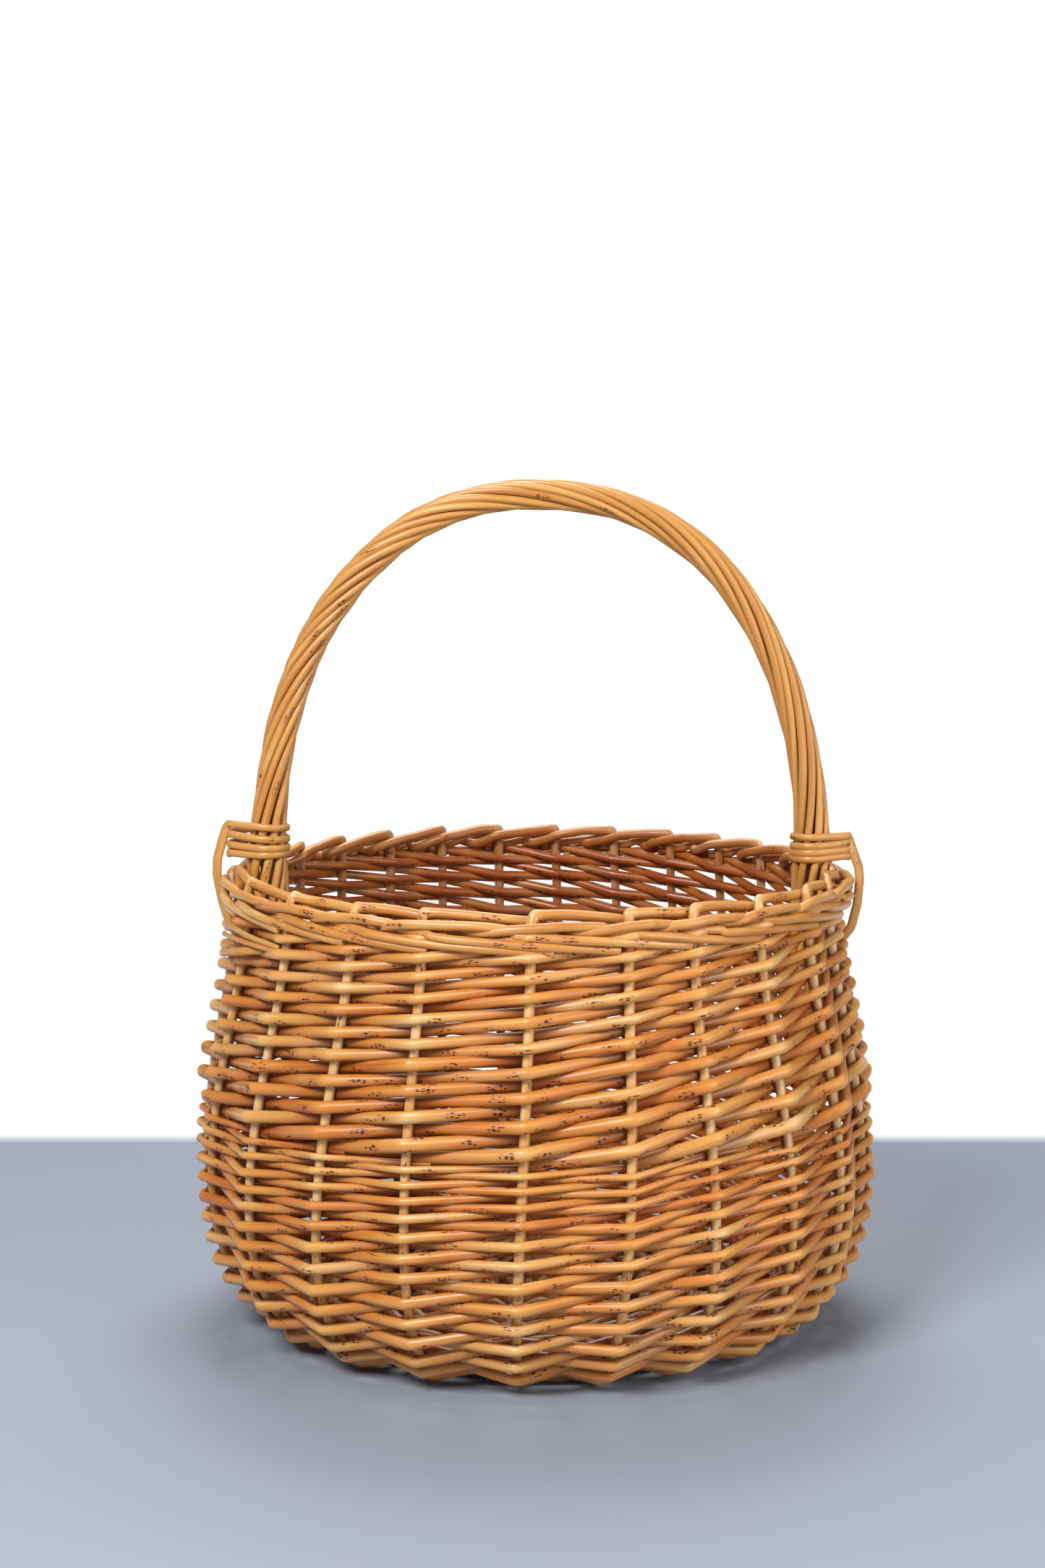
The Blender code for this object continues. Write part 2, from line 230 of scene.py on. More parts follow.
def willowFinish(name, shades, speckShare=0.5, relief=0.3, gloss=0.36, coat=0.18, streak=0.3, inner=0.0, paleAndHighlight=0.13):
    # buff willow, boiled in its bark, peeled and varnished: honey brown, streaked along the rod, with a satin shine,
    # rows of dark bud scars, and a painted shade of deeper brown where rods are tucked behind a stake. The side of
    # each rod that faces in gets the same painted shade
    material = bpy.data.materials.new(name)
    material.use_nodes = True
    tree = material.node_tree
    tree.nodes.clear()
    space = addNode(tree, "ShaderNodeAttribute", attribute_name="rodSpace")
    look = addNode(tree, "ShaderNodeAttribute", attribute_name="rodLook")
    parts = addNode(tree, "ShaderNodeSeparateColor", {0: (look, "Color")})
    tone, tuckShade, bend, hue = (parts, 0), (parts, 1), (parts, 2), (look, "Alpha")

    # grain: patches, streaks and fibres in the rod's own space add to its tone, and the sum picks the shade
    noises = {}
    for kind, (roundMm, alongMm, detail, rough) in willow["grain"].items():
        scale = (1000 / roundMm, 1000 / roundMm, 1000 / alongMm)
        mapped = addNode(tree, "ShaderNodeMapping", {0: (space, "Vector"), 3: scale})
        noises[kind] = addNode(tree, "ShaderNodeTexNoise", {"Vector": (mapped, 0), "Scale": 1.0, "Detail": detail,
                                                            "Roughness": rough}), 0
    swings = {"patches": 0.5 * streak, "streaks": 0.5 * streak, "fibres": willow["fibreSwing"] * relief}
    patches, streaks, fibres = (
        (addNode(tree, "ShaderNodeMapRange", {0: noises[kind], **willow["middle"], 3: -swing, 4: swing}), 0)
        for kind, swing in swings.items())
    # knuckles and the stakes' butts are made paler; at the knuckles this is partly a painted highlight
    paler = addNode(tree, "ShaderNodeMath", {0: bend, 1: paleAndHighlight}, operation="MULTIPLY")
    level = patches
    for more in (streaks, fibres, tone, (paler, 0)):
        level = addNode(tree, "ShaderNodeMath", {0: level, 1: more}, operation="ADD"), 0
    ramp = addNode(tree, "ShaderNodeValToRGB", {0: level})
    for place in willow["shadeStops"]:
        ramp.color_ramp.elements.new(place)
    for element, code in zip(ramp.color_ramp.elements, shades):
        element.color = toLinear(code)

    # the skin unrolled: x round the rod as far as a rod of 3 mm radius reaches, y along it; the seam lies inside
    part = addNode(tree, "ShaderNodeSeparateXYZ", {0: (space, "Vector")})
    turned = addNode(tree, "ShaderNodeMath", {0: (part, 0), 1: (part, 1)}, operation="ARCTAN2")
    unrolled = addNode(tree, "ShaderNodeMath", {0: (turned, 0), 1: willow["skinRadius"]}, operation="MULTIPLY")
    skin = addNode(tree, "ShaderNodeCombineXYZ", {0: (unrolled, 0), 1: (part, 2)})

    # bud scars: a chosen cell of a large Voronoi holds one to three short dashes, of a finer one
    found = []
    for roundMm, alongMm in (willow["scarSpacing"], willow["dashSize"]):
        mapped = addNode(tree, "ShaderNodeMapping", {0: (skin, 0), 3: (1000 / roundMm, 1000 / alongMm, 1)})
        cells = addNode(tree, "ShaderNodeTexVoronoi", {"Vector": (mapped, 0), "Scale": 1.0}, voronoi_dimensions="2D")
        found.append((cells, addNode(tree, "ShaderNodeSeparateColor", {0: (cells, "Color")})))
    (cells, cellTint), (dashes, dashTint) = found
    chosen = addNode(tree, "ShaderNodeMath", {0: (cellTint, 0), 1: speckShare}, operation="LESS_THAN")
    near = addNode(tree, "ShaderNodeMapRange", {0: (cells, "Distance"), **willow["scarRange"]})
    held = addNode(tree, "ShaderNodeMath", {0: (dashTint, 1), 1: willow["dashShare"]}, operation="LESS_THAN")
    dash = addNode(tree, "ShaderNodeMapRange", {0: (dashes, "Distance"), **willow["dashRange"]})
    speck = (chosen, 0)
    for more in (near, held, dash):
        speck = addNode(tree, "ShaderNodeMath", {0: speck, 1: (more, 0)}, operation="MULTIPLY"), 0
    # round them the bark's red has stained the wood
    stain = addNode(tree, "ShaderNodeMapRange", {0: (cells, "Distance"), **willow["stainRange"]})
    stained = addNode(tree, "ShaderNodeMath", {0: (chosen, 0), 1: (stain, 0)}, operation="MULTIPLY")

    # rods differ: some are redder, from more tannin in the boil. Then come painted shade where rods are tucked and on
    # their inner sides, then stains and scars
    redder = addNode(tree, "ShaderNodeMapRange", {0: hue, **willow["redderRange"]})
    tuckedShade = addNode(tree, "ShaderNodeMath", {0: tuckShade, 1: willow["tuckShadeShare"]}, operation="MULTIPLY")
    inwardShade = addNode(tree, "ShaderNodeMapRange", {0: (part, 1), **willow["inwardShadeRange"], 3: 0.0, 4: inner})
    colour = (ramp, 0)
    for share, code in (((redder, 0), willow["redder"]), ((tuckedShade, 0), willow["paintedShade"]),
                        ((inwardShade, 0), willow["paintedShade"]), ((stained, 0), willow["stain"]), (speck, willow["scar"])):
        colour = addNode(tree, "ShaderNodeMix", {0: share, 6: colour, 7: toLinear(code)}, data_type="RGBA"), 2

    rough = addNode(tree, "ShaderNodeMapRange", {0: noises["streaks"], **willow["middle"],
                                                 3: gloss + willow["smoother"], 4: gloss + willow["rougher"]})
    fine = addNode(tree, "ShaderNodeMath", {0: noises["fibres"], 1: willow["fibreRelief"]}, operation="MULTIPLY")
    grained = addNode(tree, "ShaderNodeMath", {0: (fine, 0), 1: noises["streaks"]}, operation="ADD")
    sunk = addNode(tree, "ShaderNodeMath", {0: speck, 1: willow["scarRelief"]}, operation="MULTIPLY")
    height = addNode(tree, "ShaderNodeMath", {0: (grained, 0), 1: (sunk, 0)}, operation="SUBTRACT")
    bump = addNode(tree, "ShaderNodeBump", {"Strength": relief, "Distance": willow["reliefHeight"],
                                            "Height": (height, 0)})
    shader = addNode(tree, "ShaderNodeBsdfPrincipled", {
        "Base Color": colour, "Roughness": (rough, 0), "Normal": (bump, 0), "IOR": 1.5, "Coat Weight": coat,
        "Coat Roughness": willow["coatRoughness"]})
    addNode(tree, "ShaderNodeOutputMaterial", {0: (shader, 0)})
    return material


# inner is how much painted shade the side of each rod that faces in gets
finishes = {
    "siding": willowFinish("buffWillowVarnishedSiding", ("#94480E", "#CC7E2E", "#D49C50", "#DDBD88"),
                           speckShare=0.45, inner=0.55),
    "border": willowFinish("buffWillowVarnishedBorder", ("#96541A", "#BC7C36", "#CD9852", "#E4C490"),
                           speckShare=0.2, inner=0.6, paleAndHighlight=0.3),
    "handle": willowFinish("buffWillowVarnishedHandle", ("#94561C", "#B67A38", "#C8944C", "#DCB67C"),
                           speckShare=0.12, relief=0.0, streak=0.2),
    "base": willowFinish("brownWillowBase", ("#70411F", "#9A6533", "#B4824C", "#CFA573"), gloss=0.5, coat=0.1),
}
print("finishes made")


# the wall: a superellipse from the foot to the belly, then an eased shoulder up to the rim
wall = {"footRadius": 0.1315, "bellyRadius": 0.1846, "bellyHeight": 0.095, "rimRadius": 0.1652,
        "rimHeight": 0.2525, "baseHeight": 0.0099, "squareness": 2.2, "steps": 160}


def wallTable():
    # foot: radius by sin^(2/n), height by 1 - cos^(2/n); shoulder: a cosine ease; both read by distance along them
    turn = np.linspace(0, np.pi / 2, wall["steps"])
    power = 2 / wall["squareness"]
    footR = wall["footRadius"] + (wall["bellyRadius"] - wall["footRadius"]) * np.sin(turn) ** power
    footZ = wall["baseHeight"] + (wall["bellyHeight"] - wall["baseHeight"]) * (1 - np.cos(turn).clip(0) ** power)
    share = np.linspace(0, 1, wall["steps"])[1:]
    eased = (1 - np.cos(np.pi * share)) / 2
    shoulderR = wall["bellyRadius"] + (wall["rimRadius"] - wall["bellyRadius"]) * eased
    shoulderZ = wall["bellyHeight"] + (wall["rimHeight"] - wall["bellyHeight"]) * share
    line = np.column_stack([np.append(footR, shoulderR), np.append(footZ, shoulderZ)])
    line = np.column_stack([line, np.zeros(len(line))])
    reach = lengths(line)
    even = np.linspace(0, reach[-1], 4 * wall["steps"])
    line = readLine(line, reach, even)
    slope = np.gradient(line, even, axis=0)
    return even, np.column_stack([line[:, :2], unit(np.column_stack([slope[:, 1], -slope[:, 0]]))])


wallReach, wallLine = wallTable()


def wallAt(distance):
    # radius, height and the outward normal's two parts at a distance along the wall from the foot
    return [np.interp(distance, wallReach, column) for column in wallLine.T]


# stakes: setOffDegrees is how far each one in front stands off its even place in the photograph, (at the foot, at
# the rim). The ones behind share out what is left. Each also leans a little, more and less up the wall
stakes = {"count": 26, "firstDegrees": -92.8, "thickness": 0.0052, "leanDegrees": 0.35, "leanFrom": 0.2,
          "leanWave": 4.4, "look": (0.5, 0.1, 0.7), "seed": 5,
          "setOffDegrees": {-5: (-20, -14), -4: (-19, -12), -3: (-13.7, -6.5), -2: (-10.2, -4), -1: (-5.9, -3.9),
                            0: (-1.2, 1.7), 1: (2.5, 5.2), 2: (5.5, 4.4), 3: (9.5, 6.3), 4: (11.2, 8.9),
                            5: (12, 9.5)}}

stakeTurn = 2 * np.pi / stakes["count"]
stakeLean = np.radians(np.random.default_rng(stakes["seed"]).uniform(-1, 1, (2, stakes["count"]))
                       * stakes["leanDegrees"])


def shareSetOff():
    # foot and rim rows, one column for each stake
    known = stakes["setOffDegrees"]
    number = [*known, stakes["count"] + min(known)]
    rows = np.array([*known.values(), known[min(known)]]).T
    every = np.arange(stakes["count"])
    every = np.where(every > number[-1], every - stakes["count"], every)
    return np.radians([np.interp(every, number, row) for row in rows])


stakeSetOff = shareSetOff()


def stakeAngle(number, reach):
    # a stake's angle at a distance up the wall; its lean fades out at the foot
    own = number % stakes["count"]
    share = np.clip(reach / wallReach[-1], 0, 1)
    grown = np.clip(share / stakes["leanFrom"], 0, 1)
    lean = stakeLean[0][own] + stakeLean[1][own] * np.cos(stakes["leanWave"] * share + 3 * own)
    setOff = stakeSetOff[0][own] * (1 - share) + stakeSetOff[1][own] * share
    return np.radians(stakes["firstDegrees"]) + number * stakeTurn + grown * lean + setOff


def angleOn(number, on):
    # the angle at the rim this many stakes on, between the stakes' own angles there
    left = np.floor(number + on).astype(int)
    part = number + on - left
    return (1 - part) * stakeAngle(left, wallReach[-1]) + part * stakeAngle(left + 1, wallReach[-1])


# the siding: two bands of rods, butt to tip, each rod one row up at every stake. Starts and ends are in stakes
siding = {"lowerRows": 26, "lowerButt": 0.0067, "lowerTip": 0.0036, "lowerStart": -0.25, "lowerPast": (0.15, 0.45),
          "upperRows": 20, "upperButt": 0.0073, "upperTip": 0.0049, "upperStart": -0.04, "upperShort": 0.75,
          "depthUnderRim": 0.0070, "swell": 0.0001, "tipRise": 0.0042, "buttDrop": 0.0012, "clear": 0.0003,
          "bend": 0.0046, "settle": 0.0011, "jitter": 0.0005, "thicker": (-0.05, 0.04), "thickerAt": 0.025,
          "knuckleFlat": 0.07, "waves": (0.031, 0.0127), "waveDepth": 0.012, "look": (0.50, 0.095, 1.0), "seed": 11}


def sidingRows():
    # distance along the wall and thickness of each row: rods taper butt to tip, the lower ones mostly near the tip,
    # and the rows fill the wall, each a little thicker than its row because it is pressed between its neighbours
    share = np.linspace(0, 1, siding["lowerRows"])
    pitch = np.concatenate([siding["lowerButt"] + (siding["lowerTip"] - siding["lowerButt"]) * share ** 2,
                            np.linspace(siding["upperButt"], siding["upperTip"], siding["upperRows"])])
    pitch *= (wallReach[-1] - siding["depthUnderRim"]) / pitch.sum()
    return np.cumsum(pitch) - pitch / 2, pitch + siding["swell"]


rowReach, rowThickness = sidingRows()


def settled(number, reach):
    # rows settle unevenly at each stake: two slow ripples along the wall, shared by all the rods there
    own = number % stakes["count"]
    share = np.clip(reach / wallReach[-1], 0, 1)
    ripple = np.sin(7.2 * share + 1.7 * own) + 0.6 * np.sin(16.0 * share + 2.9 * own)
    return reach + siding["settle"] * np.sin(np.pi * share) * ripple


def layRod(name, number, firstRow, lastRow, starts, stops):
    # at whole u the rod lies against stake number + u, in row u: behind it if even, in front if odd. It runs straight
    # from one to the next and bends there
    chance = np.random.default_rng(siding["seed"] * 1000 + number * 7 + firstRow)
    on = np.arange(math.floor(starts), math.ceil(stops) + 1)
    row = np.clip(on, firstRow, lastRow)
    reach = settled(number + on, rowReach[row]) + chance.normal(0, siding["jitter"], len(on))
    # where the bands meet, the last tips rise and the first butts sink, so that they close up
    reach = reach + siding["tipRise"] * (on > lastRow) - siding["buttDrop"] * (on == siding["lowerRows"])
    thicker = chance.uniform(*siding["thicker"]) + chance.normal(0, siding["thickerAt"], len(on))
    thickness = rowThickness[row] * (1 + thicker)
    outside = np.where(on % 2, 1.0, -1.0)
    radius, height, outR, outZ = wallAt(reach)
    offset = outside * (stakes["thickness"] + thickness) / 2 + siding["clear"]
    angle = stakeAngle(number + on, reach)
    line = rodLine(around(radius + offset * outR, angle, height + offset * outZ),
                   around(outR, angle, outZ), thickness / 2, tuckShade=outside < 0, bend=outside > 0)
    dense = np.arange(starts, stops + 0.005, 0.01)
    line = rounded(readLine(line, on, dense), siding["bend"])
    # a knuckle shows paler only within a few millimetres of the stake: stretched fibres and a painted highlight
    line[:, columns["bend"]] = np.clip(line[:, columns["bend"]] * 5 - 4, 0, 1)
    # behind a stake the rod gets a painted shade, strongest where it lies against the stake
    line[:, columns["tuckShade"]] = np.clip(line[:, columns["tuckShade"]], 0, 1) ** 1.5
    line[:, columns["flat"]] = siding["knuckleFlat"] * line[:, columns["bend"]]
    line[:, columns["radius"]] *= swelling(line, chance, siding["waves"], siding["waveDepth"])
    look = drawLook(chance, *siding["look"])
    addRod(name, ringed(line), look, finishes["siding"], "siding_willow", f"siding_rod_{number + 1:02d}")


def makeSiding():
    lower, rows = siding["lowerRows"], siding["lowerRows"] + siding["upperRows"]
    for number in range(stakes["count"]):
        chance = np.random.default_rng(siding["seed"] + number)
        # butts lie hidden behind a stake, and the tips under them reach a little past it
        layRod(f"lower_rod_{number + 1:02d}", number, 0, lower - 1,
               siding["lowerStart"], lower + chance.uniform(*siding["lowerPast"]))
        layRod(f"upper_rod_{number + 1:02d}", number, lower, rows - 1,
               lower + siding["upperStart"], rows - siding["upperShort"])
    print("siding laid:", 2 * stakes["count"], "rods")


makeSiding()


# the base: slit sticks with others threaded through, opened like a star, and a rod randed round them
baseWork = {"stickThickness": 0.0056, "slitThickness": 0.0062, "rodThickness": 0.0065, "radius": 0.1285,
            "slathReach": 0.015, "spread": 0.030, "gap": 0.0003, "flatRounds": 2, "edge": 0.1335, "heart": 0.021,
            "stickBend": 0.010, "swing": 0.9, "look": (0.4, 0.08, 0.5), "seed": 71,
            "slitEnds": ((12, 8), (0, 7), (1, 6)), "threadedEnds": ((2, None), (3, 11), (4, 10), (5, 9))}


def stickAngle(number):
    # each base stick points midway between two stakes; between sticks the angle is shared out
    left = np.floor(number).astype(int)
    ends = [(stakeAngle(2 * one, 0.0) + stakeAngle(2 * one + 1, 0.0)) / 2 for one in (left, left + 1)]
    return ends[0] + (ends[1] - ends[0]) * (number - left)


# the border: the stakes' tops, laid down to the right. Each stands up past the rim and kinks over; the route is
# stakes passed, then out and down in border thicknesses
border = {"pitch": 0.0043, "thickness": 0.0056, "tipShare": 0.84, "kink": 0.0024, "jitter": 0.06,
          "footPush": 0.8, "footWidth": 0.09, "pushLeft": 0.6, "pushRight": 1.2, "pushWidth": 0.30,
          "crackReach": 0.0028, "crackFlat": 0.22, "paleUnder": 0.004, "thicker": 0.06, "trim": 0.011,
          "waves": (0.029, 0.0117), "waveDepth": 0.012,
          "upright": (0.02, -0.20, -0.55),
          "route": ((0.30, -0.75, -0.48), (0.70, -1.15, -0.15), (1.00, -1.25, 0.25), (1.25, -0.75, 0.95),
                    (1.45, 0.20, 1.50), (1.65, 0.95, 1.10), (1.85, 1.30, 0.78), (2.10, 1.20, 0.62),
                    (2.40, 1.05, 0.66), (2.62, 0.60, 0.95), (2.82, 0.35, 1.45), (3.00, 0.95, 1.72),
                    (3.20, 1.25, 1.98), (3.50, 1.45, 2.30), (4.00, 1.25, 2.82), (4.50, 1.12, 3.28),
                    (5.05, 1.05, 3.80))}


def stakeLine(number, side):
    # beside its base stick, up the wall and past the rim, then the border's route
    beside = baseWork["stickThickness"] / 2 + baseWork["gap"] + stakes["thickness"] / 2
    pitch = baseWork["rodThickness"] + baseWork["gap"]
    footRadius = baseWork["radius"] - baseWork["flatRounds"] * pitch + baseWork["gap"]
    footAngle = stickAngle(number // 2) - side * math.asin(beside / footRadius)
    reach = np.linspace(0.004, wallReach[-1] - 0.002, 40)
    radius, height, outR, outZ = wallAt(reach)
    angle = stakeAngle(number, reach)
    chance = np.random.default_rng(stakes["seed"] * 100 + number)
    thick = border["thickness"]
    route = np.array((border["upright"], *border["route"]))
    shift = chance.normal(0, border["jitter"], (len(route), 3))
    shift[0] *= (0.3, 1, 1.4)
    on, out, down = (route + shift).T
    turned = angleOn(number, on)
    # beside the handle's feet the rods inside are pushed outwards by them, and the whole border swells
    out = out + border["footPush"] * np.exp(-(np.sin(turned) / border["footWidth"]) ** 2) * np.clip(-out, 0, 1)
    push = np.where(np.cos(turned) > 0, border["pushRight"], border["pushLeft"])
    out = out + push * np.exp(-(np.sin(turned) / border["pushWidth"]) ** 2) * np.clip(on, 0, 1)
    run = around(wall["rimRadius"] + out * border["pitch"], turned, wall["rimHeight"] - down * border["pitch"])
    taper = np.linspace(stakes["thickness"], thick, 1 + len(reach)) / 2
    up = rodLine(np.vstack([around(footRadius, footAngle, wall["baseHeight"])[None],
                            around(radius, angle, height)]),
                 np.vstack([around(outR[:1], angle[:1], outZ[:1]), around(outR, angle, outZ)]), taper)
    over = rodLine(run, around(1.0, turned, 0.5), thick / 2 * np.linspace(1, border["tipShare"], len(on)))
    over[0, columns["facing"]] = up[-1, columns["facing"]]
    up = curveThrough(up, 8)
    over = curveThrough(over)
    line = np.vstack([up, over])
    kink = lengths(line)[len(up)]
    line = rounded(line, border["kink"])
    reach = lengths(line)
    # at the kink the wood has cracked: flatter, paler and a little wider; the paleness is partly a painted highlight
    crack = np.exp(-((reach - kink) / border["crackReach"]) ** 2)
    line[:, columns["flat"]] = border["crackFlat"] * crack
    # the part in the wall is the butt of the rod, and paler than what is bent over
    line[:, columns["bend"]] = np.maximum(crack, reach < kink - border["paleUnder"])
    thicker = swelling(line, chance, border["waves"], border["waveDepth"])
    line[:, columns["radius"]] *= thicker * (1 + chance.uniform(-border["thicker"], border["thicker"]))
    return line[:np.searchsorted(reach, reach[-1] - chance.uniform(0, border["trim"]))]


def makeStakes():
    for number in range(stakes["count"]):
        chance = np.random.default_rng(stakes["seed"] * 50 + number)
        line = stakeLine(number, -1 if number % 2 else 1)
        look = drawLook(chance, *stakes["look"])
        node = f"stake_{number + 1:02d}"
        addRod(f"border_{node}", ringed(line, 0.006), look, finishes["border"], "stake_willow", node)
    print("stakes and border laid")


makeStakes()


def slathPoint(along, across):
    turned = stickAngle(0) + stakeTurn / 2
    return np.array([along * math.cos(turned) - across * math.sin(turned),
                     along * math.sin(turned) + across * math.cos(turned), wall["baseHeight"]])


def makeBase():
    reach, slath, upwards = baseWork["slathReach"], [], [0.0, 0.0, 1.0]
    for place, (right, left) in enumerate(baseWork["slitEnds"]):
        across = (place - 1) * (baseWork["slitThickness"] + baseWork["gap"])
        slath.append((right, left, slathPoint(reach, across), slathPoint(-reach, across), baseWork["slitThickness"]))
    for place, (upper, lower) in enumerate(baseWork["threadedEnds"]):
        along = (1.5 - place) * (baseWork["stickThickness"] + baseWork["gap"])
        slath.append((lower, upper, slathPoint(along, -reach), slathPoint(along, reach), baseWork["stickThickness"]))
    for place, (first, second, inner, outer, thickness) in enumerate(slath):
        arms = [[] if end is None else [around(radius, stickAngle(end), wall["baseHeight"])
                                        for radius in (baseWork["spread"], baseWork["radius"])]
                for end in (first, second)]
        corners = np.array([*arms[0][::-1], inner, outer, *arms[1]])
        line = rounded(rodLine(corners, np.tile(upwards, (len(corners), 1)), thickness / 2), baseWork["stickBend"])
        look = drawLook(np.random.default_rng(baseWork["seed"] + place), *baseWork["look"])
        addRod(f"base_stick_{place + 1}", ringed(line), look, finishes["base"], "base_willow", "base_sticks")
    pitch = baseWork["rodThickness"] + baseWork["gap"]
    offset = wall["baseHeight"] - baseWork["rodThickness"] / 2
    outer = baseWork["edge"] - baseWork["rodThickness"] / 2
    sticksRound = stakes["count"] // 2
    crossings = math.floor((outer - baseWork["heart"]) / pitch) * sticksRound
    # under and over the sticks by turns, on a spiral whose rounds lie one rod apart
    u = np.linspace(0, crossings, crossings * 10)
    swing = np.arcsin(-baseWork["swing"] * np.cos(np.pi * u)) / math.asin(baseWork["swing"])
    place = around(outer - pitch * (crossings - u) / sticksRound, stickAngle(2 + u),
                   wall["baseHeight"] + offset * swing)
    line = rodLine(place, np.tile(upwards, (len(u), 1)), baseWork["rodThickness"] / 2)
    addRod("base_weaver", line, {"tone": 0.4, "hue": 0.4, "start": 0.0}, finishes["base"], "base_willow", "base_rod")
    print("base made")


makeBase()


# the handle: nine rods roped round a bow that is hidden by them; the twist is quickest at the left shoulder
handle = {"rise": 0.2110, "halfSpan": 0.1525, "aside": 0.0028, "squareness": 2.2, "bowFoot": 0.0695,
          "ropingFoot": 0.0515, "bowThickness": 0.0080, "outerRadius": 0.0086, "rods": 9, "turns": 3.0,
          "widths": (0.88, 1.12), "fit": 0.99, "drift": 0.03, "lift": 0.0003, "taper": 0.07,
          "fan": 0.0030, "fanFrom": 0.055, "fanReach": 0.032,
          "twist": ((0.0, 0.7), (0.15, 0.9), (0.28, 1.5), (0.42, 1.3), (0.55, 0.9), (0.8, 0.8), (1.0, 0.5)),
          "look": (0.48, 0.08, 0.6), "sides": 16, "seed": 23}


def archLine(footDepth, count):
    # a superellipse above the rim, with straight feet that go down inside the wall, from the left foot to the right
    turn = np.linspace(np.pi, 0, 400)
    power = 2 / handle["squareness"]
    across = np.sign(np.cos(turn)) * np.abs(np.cos(turn)) ** power
    arch = np.column_stack([handle["halfSpan"] * across, 0 * turn,
                            wall["rimHeight"] + handle["rise"] * np.sin(turn).clip(0) ** power])
    foot = [handle["halfSpan"], 0, wall["rimHeight"] - footDepth]
    line = np.vstack([[-foot[0], 0, foot[2]], arch, foot])
    reach = lengths(line)
    even = np.linspace(0, reach[-1], count)
    line = readLine(line, reach, even)
    line[:, 0] += handle["aside"]
    return line, even


def makeHandle():
    front = np.array([0.0, -1.0, 0.0])
    bow, _ = archLine(handle["bowFoot"], 160)
    look = {"tone": 0.2, "hue": 0.5, "start": 0.1}
    addRod("handle_bow_rod", rodLine(bow, np.tile(front, (len(bow), 1)), handle["bowThickness"] / 2), look,
           finishes["handle"], "bow_willow", "handle_bow")
    place, reach = archLine(handle["ropingFoot"], 300)
    along = unit(np.gradient(place, axis=0))
    outward = np.cross(front, along)
    share = reach / reach[-1]
    rate = np.interp(share, *np.array(handle["twist"]).T)
    twist = np.append(0, np.cumsum((rate[1:] + rate[:-1]) / 2))
    twist = 2 * np.pi * handle["turns"] * twist / twist[-1]
    luck = np.random.default_rng(handle["seed"])
    width = luck.uniform(*handle["widths"], handle["rods"])
    width *= 2 * np.pi / width.sum()
    start = np.cumsum(width) - width / 2
    fromFoot = np.minimum(reach, reach[-1] - reach)
    # near its feet, among the wraps and inside the wall, the rope opens a little
    spread = handle["fan"] * np.exp(-np.maximum(fromFoot - handle["fanFrom"], 0) / handle["fanReach"])
    for number in range(handle["rods"]):
        chance = np.random.default_rng(handle["seed"] + 1 + number)
        # a rod of radius r fits its share of the ring when r = R * sin(width / 2) / (1 + sin(width / 2))
        half = math.sin(width[number] / 2)
        radius = handle["outerRadius"] * half / (1 + half) * handle["fit"]
        drift = sum(chance.normal(0, handle["drift"]) * np.sin(k * 5 * share + chance.uniform(0, 6))
                    for k in (1, 2, 3))
        # going up from the left foot the rods move from the outer edge over the front to the inner one
        turn = start[number] + twist + drift
        lift = handle["lift"] * np.sin(11 * share + chance.uniform(0, 6))
        taper = 1 + handle["taper"] * np.cos(np.pi * share + np.pi * (number % 2))
        distance = handle["outerRadius"] - radius * taper + lift + spread
        spoke = outward * np.cos(turn)[:, None] + front * np.sin(turn)[:, None]
        line = rodLine(place + spoke * distance[:, None], spoke, radius * taper)
        look = drawLook(chance, *handle["look"])
        node = "handle_roping_front" if number < handle["rods"] / 2 else "handle_roping_back"
        addRod(f"handle_roping_rod_{number + 1}", line, look, finishes["handle"], "handle_willow", node,
               sides=handle["sides"])
    print("handle roped with", handle["rods"], "rods")


makeHandle()


# the lashings: a rod wound four times round each foot, then down the outside of the border as a strap and in. Three
# split tails show beside the left one. Heights are of each wrap, above the rim. A strap's corners are (out from the
# handle's middle, height); a tail is its radius and corners of (degrees, below the rim, out from the wall's line)
lashing = {"radius": 0.0019, "strapRadius": 0.0025, "innerRadius": 0.0113, "noseRadius": 0.0030,
           "wrapFlat": 0.22, "strapFlat": 0.36, "tailFlat": 0.25, "rockUp": 0.0004, "uneven": 0.05, "bend": 0.0035,
           "ringStep": 0.005, "tailStep": 0.004, "seed": 31,
           "left": {"sign": -1, "noseReach": 0.0190, "heights": (0.0108, 0.0150, 0.0204, 0.0272),
                    "strap": ((0.0228, 0.0262), (0.0248, 0.0200), (0.0282, 0.0080), (0.0286, -0.0010),
                              (0.0260, -0.0150), (0.0226, -0.0262), (0.0191, -0.0330)),
                    "tails": ((0.0013, (190.0, 0.0245, 0.0075), (196.0, 0.0208, 0.0104), (202.6, 0.0206, 0.0098),
                               (210.0, 0.0225, 0.0075), (217.0, 0.0250, 0.0030)),
                              (0.0012, (191.0, 0.0290, 0.0075), (197.0, 0.0262, 0.0104), (203.0, 0.0258, 0.0096),
                               (210.5, 0.0262, 0.0072), (217.0, 0.0275, 0.0030)),
                              (0.0020, (195.5, 0.0372, 0.0098), (200.0, 0.0348, 0.0106), (206.1, 0.0312, 0.0078),
                               (211.0, 0.0290, 0.0020)))},
           "right": {"sign": 1, "noseReach": 0.0175, "heights": (0.0084, 0.0122, 0.0158, 0.0212),
                     "strap": ((0.0200, 0.0204), (0.0220, 0.0140), (0.0261, 0.0030), (0.0268, -0.0040),
                               (0.0256, -0.0180), (0.0224, -0.0310), (0.0158, -0.0390)), "tails": ()}}


